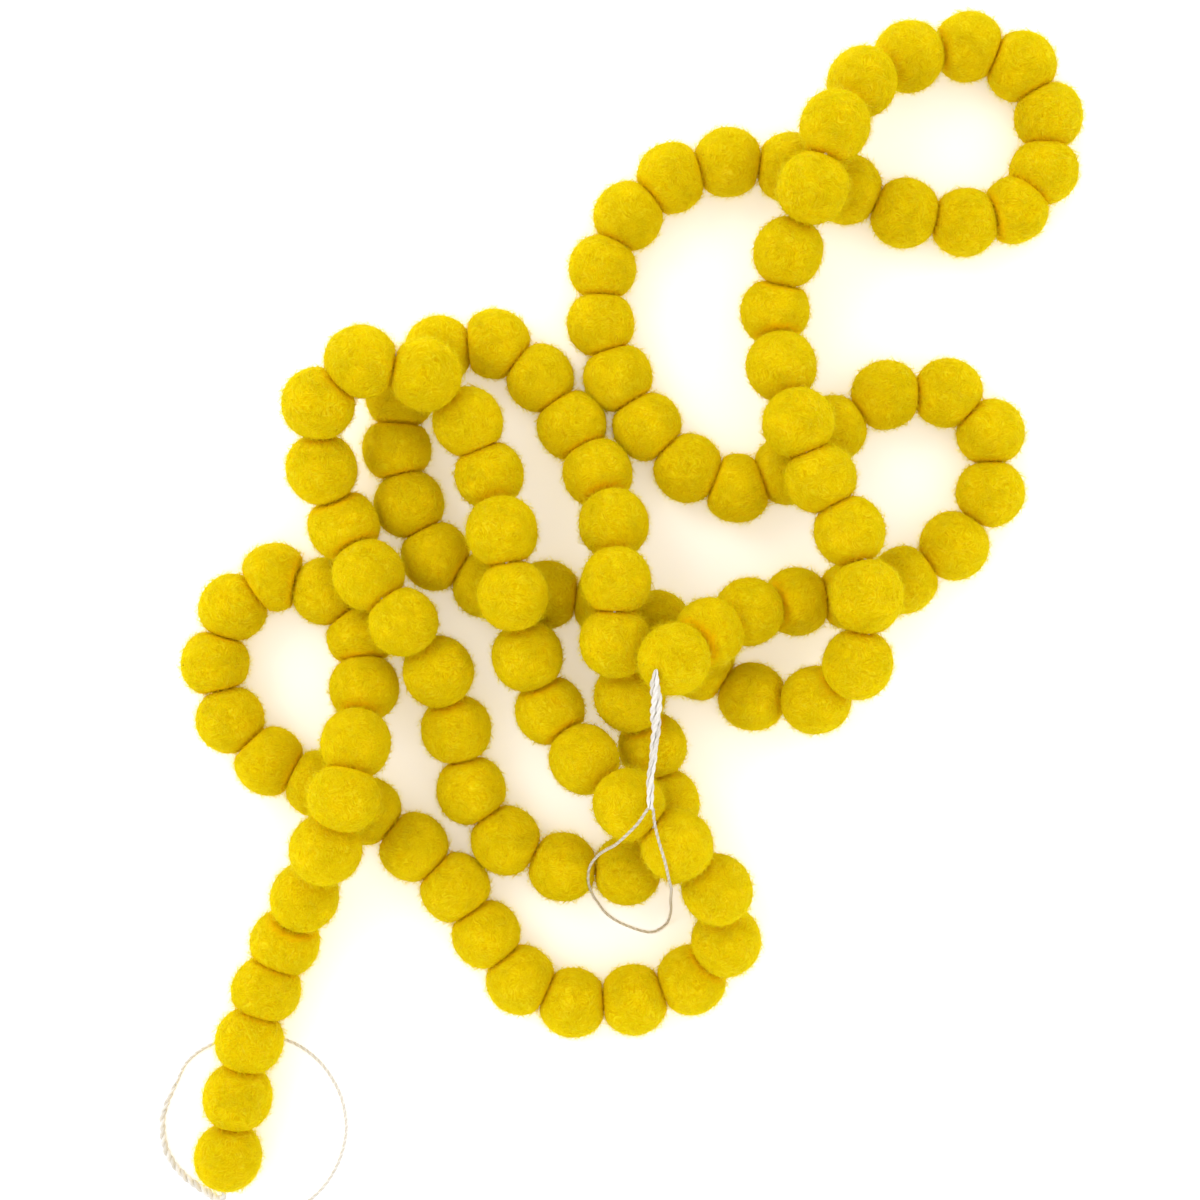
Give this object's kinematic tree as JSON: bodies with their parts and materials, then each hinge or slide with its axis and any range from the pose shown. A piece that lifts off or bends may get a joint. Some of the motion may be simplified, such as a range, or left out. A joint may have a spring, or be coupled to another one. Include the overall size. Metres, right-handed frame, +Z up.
{
  "type": "felt ball garland",
  "caption": "Garland of yellow felted wool balls strung close together on a twisted off-white cord with a thin hanging loop at each end, laid down in a loose heap.",
  "frame": {"origin": "centre of the heap's bounding box, without its end tails and loops, on the surface it lies on", "axes": "+Z up from the surface; +Y along the heap's longest side, towards its narrower far end; +X to the right seen from above with +Y away"},
  "size_m": [0.3473, 0.4531, 0.0627],
  "materials": {
    "felt": "matt felted wool with a soft fuzz",
    "cord": "twisted cotton cord, slightly bright"
  },
  "bodies": {
    "root": {"balls_001_003": "felt", "balls_004_006": "felt", "balls_007_009": "felt", "balls_010_012": "felt", "balls_013_015": "felt", "balls_016_018": "felt", "balls_019_021": "felt", "balls_022_024": "felt", "balls_025_027": "felt", "balls_028_030": "felt", "balls_031_033": "felt", "balls_034_036": "felt", "balls_037_039": "felt", "balls_040_042": "felt", "balls_043_045": "felt", "balls_046_048": "felt", "balls_049_051": "felt", "balls_052_054": "felt", "balls_055_057": "felt", "balls_058_060": "felt", "balls_061_063": "felt", "balls_064_066": "felt", "balls_067_069": "felt", "balls_070_072": "felt", "balls_073_075": "felt", "balls_076_078": "felt", "balls_079_081": "felt", "balls_082_084": "felt", "balls_085_087": "felt", "balls_088_090": "felt", "balls_091_093": "felt", "balls_094_096": "felt", "balls_097_099": "felt", "balls_100_102": "felt", "balls_103_105": "felt", "balls_106_108": "felt", "balls_109_111": "felt", "balls_112_114": "felt", "balls_115_116": "felt", "cord_threaded": "cord", "cord_tail_first": "cord", "cord_loop_first": "cord", "cord_tail_last": "cord", "cord_loop_last": "cord"}
  },
  "joints": []
}
